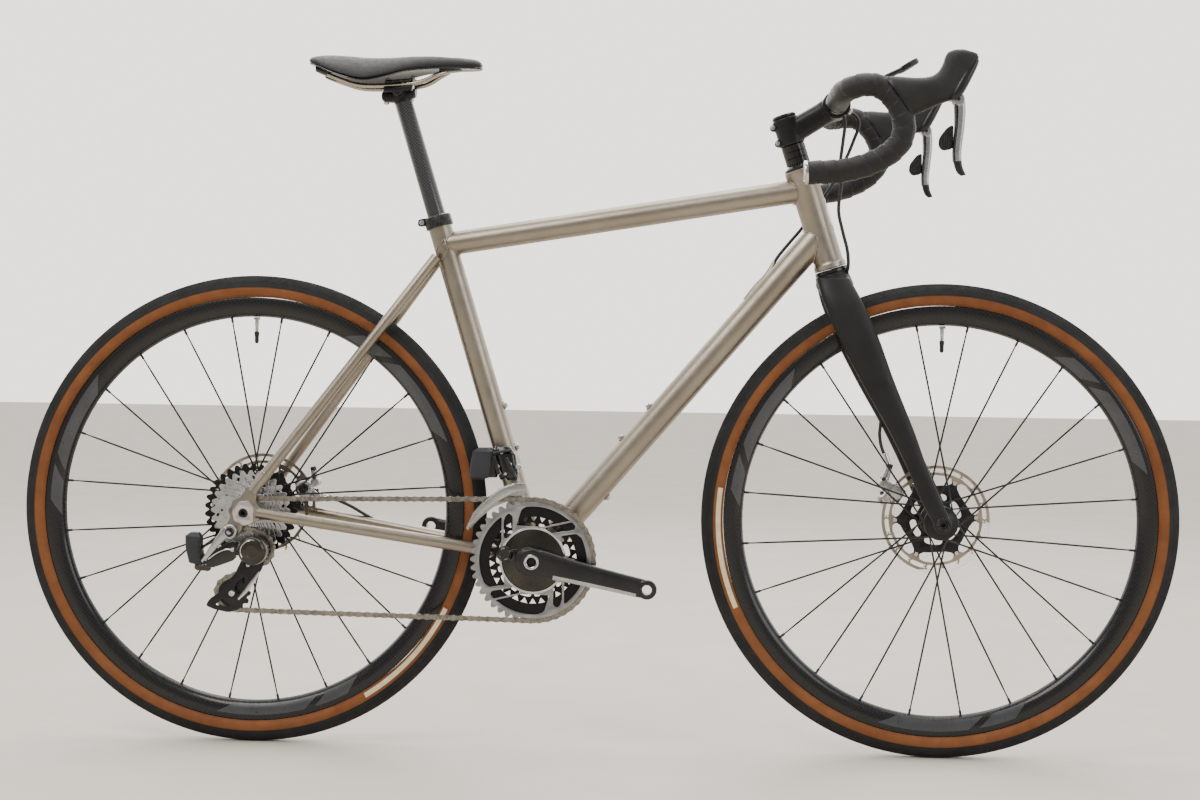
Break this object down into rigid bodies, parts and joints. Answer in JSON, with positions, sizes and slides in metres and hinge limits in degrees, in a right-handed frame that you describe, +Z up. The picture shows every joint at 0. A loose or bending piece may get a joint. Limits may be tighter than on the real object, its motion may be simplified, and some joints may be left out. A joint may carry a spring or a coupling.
{
  "type": "road bicycle",
  "caption": "Drop-bar road bicycle with a bare metal frame, black carbon fork, spoked disc-brake wheels, chain drive, two derailleurs and tan-walled tyres.",
  "frame": {"origin": "on the ground, midway between the tyre contacts, in the plane of the wheels", "axes": "+X points forward along the wheelbase, +Y to the rider's left along the axles, +Z up"},
  "size_m": [1.7108, 0.4538, 1.0257],
  "materials": {
    "titanium": "satin warm grey",
    "machined_titanium": "fine machined",
    "gloss_carbon": "glossy carbon",
    "matte_carbon": "matte carbon",
    "black_alloy": "black anodised",
    "silver_alloy": "satin silver",
    "polished_steel": "polished",
    "rotor_steel": "brushed",
    "pad_steel": "dull",
    "rail_metal": "satin",
    "black_plastic": "matte",
    "hose_black": "satin",
    "saddle_cover": "smooth synthetic",
    "bar_tape": "wrapped tape",
    "hood_rubber": "matte",
    "lever_silver": "satin",
    "tyre_rubber": "black tread with tan sidewalls"
  },
  "bodies": {
    "frame": {"head_tube": "titanium", "top_tube": "titanium", "down_tube": "titanium", "seat_tube": "titanium", "bottom_bracket_shell": "titanium", "chainstay_right": "titanium", "chainstay_left": "titanium", "seatstay_right": "titanium", "seatstay_left": "titanium", "dropout_right": "machined_titanium", "dropout_left": "machined_titanium", "headset_cover": "gloss_carbon", "seat_clamp": "machined_titanium", "front_derailleur": "black_alloy", "rear_caliper": "silver_alloy", "rear_axle": "black_alloy", "chain": "polished_steel", "derailleur_knuckle": "silver_alloy", "rear_hose": "hose_black"},
    "seat": {"seatpost": "gloss_carbon", "saddle_clamp": "black_alloy", "saddle_rails": "rail_metal", "saddle": "saddle_cover"},
    "front_shift_cage": {"front_derailleur_cage": "polished_steel"},
    "rear_pad_r": {"rear_pad_right": "pad_steel"},
    "rear_pad_l": {"rear_pad_left": "pad_steel"},
    "shift_link": {"derailleur_link": "black_alloy"},
    "pulley_body": {"derailleur_body": "black_alloy"},
    "pulley_cage": {"derailleur_cage": "black_alloy"},
    "guide_wheel": {"guide_pulley": "black_plastic"},
    "tension_wheel": {"tension_pulley": "black_plastic"},
    "crank": {"crank_arm_right": "matte_carbon", "crank_arm_left": "matte_carbon", "chainrings": "silver_alloy"},
    "cassette": {"cassette": "polished_steel"},
    "rear_wheel": {"rear_tyre": "tyre_rubber", "rear_rim": "gloss_carbon", "rear_hub": "black_alloy", "rear_rotor": "rotor_steel"},
    "front_wheel": {"front_tyre": "tyre_rubber", "front_rim": "gloss_carbon", "front_hub": "black_alloy", "front_rotor": "rotor_steel"},
    "steering": {"fork": "matte_carbon", "headset_spacers": "gloss_carbon", "stem": "black_alloy", "stem_faceplate": "black_alloy", "handlebar": "bar_tape", "hood_right": "hood_rubber", "hood_left": "hood_rubber", "computer_mount": "black_plastic", "front_caliper": "silver_alloy", "front_axle": "black_alloy", "front_hose": "hose_black"},
    "front_pad_r": {"front_pad_right": "pad_steel"},
    "front_pad_l": {"front_pad_left": "pad_steel"},
    "lever_right": {"brake_lever_right": "lever_silver"},
    "lever_left": {"brake_lever_left": "lever_silver"},
    "paddle_right": {"shift_paddle_right": "black_plastic"},
    "paddle_left": {"shift_paddle_left": "black_plastic"}
  },
  "joints": [
    {"name": "steer", "type": "hinge", "parent": "frame", "child": "steering", "pos_m": [0.3436, 0, 0.7161], "axis": [-0.309, 0, 0.9511], "range_deg": [-60, 60], "deforming": ["rear_hose"]},
    {"name": "front_wheel_spin", "type": "hinge", "parent": "steering", "child": "front_wheel", "pos_m": [0.5074, 0, 0.348], "axis": [0, 1, 0], "continuous": true},
    {"name": "rear_wheel_spin", "type": "hinge", "parent": "frame", "child": "rear_wheel", "pos_m": [-0.5074, 0, 0.348], "axis": [0, 1, 0], "continuous": true},
    {"name": "crank_spin", "type": "hinge", "parent": "frame", "child": "crank", "pos_m": [-0.085, 0, 0.2843], "axis": [0, 1, 0], "continuous": true},
    {"name": "cassette_spin", "type": "hinge", "parent": "frame", "child": "cassette", "pos_m": [-0.5074, 0, 0.348], "axis": [0, 1, 0], "continuous": true},
    {"name": "seatpost_height", "type": "slide", "parent": "frame", "child": "seat", "axis": [-0.2924, 0, 0.9563], "range_m": [-0.1, 0.05]},
    {"name": "front_shift", "type": "slide", "parent": "frame", "child": "front_shift_cage", "axis": [0, 1, 0], "range_m": [0, 0.0085], "deforming": ["chain"]},
    {"name": "derailleur_shift", "type": "slide", "parent": "frame", "child": "pulley_body", "axis": [0, 0.6548, -0.7558], "range_m": [0, 0.05956], "deforming": ["chain"]},
    {"name": "link_swing", "type": "hinge", "parent": "frame", "child": "shift_link", "pos_m": [-0.5616, -0.0665, 0.27349], "axis": [0, 0.7558, 0.6548], "range_deg": [0, 64]},
    {"name": "cage_swing", "type": "hinge", "parent": "pulley_body", "child": "pulley_cage", "pos_m": [-0.4905, -0.066, 0.2945], "axis": [0, -1, 0], "range_deg": [-10, 40], "stiffness_Nm_per_rad": 1.5, "deforming": ["chain"]},
    {"name": "guide_pulley_spin", "type": "hinge", "parent": "pulley_cage", "child": "guide_wheel", "pos_m": [-0.4905, -0.066, 0.2945], "axis": [0, 1, 0], "continuous": true},
    {"name": "tension_pulley_spin", "type": "hinge", "parent": "pulley_cage", "child": "tension_wheel", "pos_m": [-0.5248, -0.066, 0.2294], "axis": [0, 1, 0], "continuous": true},
    {"name": "brake_lever_right_pull", "type": "hinge", "parent": "steering", "child": "lever_right", "pos_m": [0.5, -0.206, 0.94], "axis": [0, 1, 0], "range_deg": [0, 20], "stiffness_Nm_per_rad": 0.8},
    {"name": "shift_paddle_right_press", "type": "hinge", "parent": "lever_right", "child": "paddle_right", "pos_m": [0.495, -0.206, 0.89], "axis": [0, 0, -1], "range_deg": [0, 8], "stiffness_Nm_per_rad": 0.08},
    {"name": "brake_lever_left_pull", "type": "hinge", "parent": "steering", "child": "lever_left", "pos_m": [0.5, 0.206, 0.94], "axis": [0, 1, 0], "range_deg": [0, 20], "stiffness_Nm_per_rad": 0.8},
    {"name": "shift_paddle_left_press", "type": "hinge", "parent": "lever_left", "child": "paddle_left", "pos_m": [0.495, 0.206, 0.89], "axis": [0, 0, 1], "range_deg": [0, 8], "stiffness_Nm_per_rad": 0.08},
    {"name": "front_pad_right_squeeze", "type": "slide", "parent": "steering", "child": "front_pad_r", "axis": [0, 1, 0], "range_m": [0, 0.0004]},
    {"name": "front_pad_left_squeeze", "type": "slide", "parent": "steering", "child": "front_pad_l", "axis": [0, -1, 0], "range_m": [0, 0.0004]},
    {"name": "rear_pad_right_squeeze", "type": "slide", "parent": "frame", "child": "rear_pad_r", "axis": [0, 1, 0], "range_m": [0, 0.0004]},
    {"name": "rear_pad_left_squeeze", "type": "slide", "parent": "frame", "child": "rear_pad_l", "axis": [0, -1, 0], "range_m": [0, 0.0004]}
  ],
  "couplings": [
    {"joint": "cassette_spin", "follows": "crank_spin", "ratio": 4.4},
    {"joint": "guide_pulley_spin", "follows": "crank_spin", "ratio": -3.6667},
    {"joint": "tension_pulley_spin", "follows": "crank_spin", "ratio": 3.6667},
    {"joint": "link_swing", "follows": "derailleur_shift", "rad_per_m": 18.46},
    {"joint": "front_pad_right_squeeze", "follows": "brake_lever_right_pull", "m_per_rad": 0.00114},
    {"joint": "front_pad_left_squeeze", "follows": "brake_lever_right_pull", "m_per_rad": 0.00114},
    {"joint": "rear_pad_right_squeeze", "follows": "brake_lever_left_pull", "m_per_rad": 0.00114},
    {"joint": "rear_pad_left_squeeze", "follows": "brake_lever_left_pull", "m_per_rad": 0.00114}
  ]
}
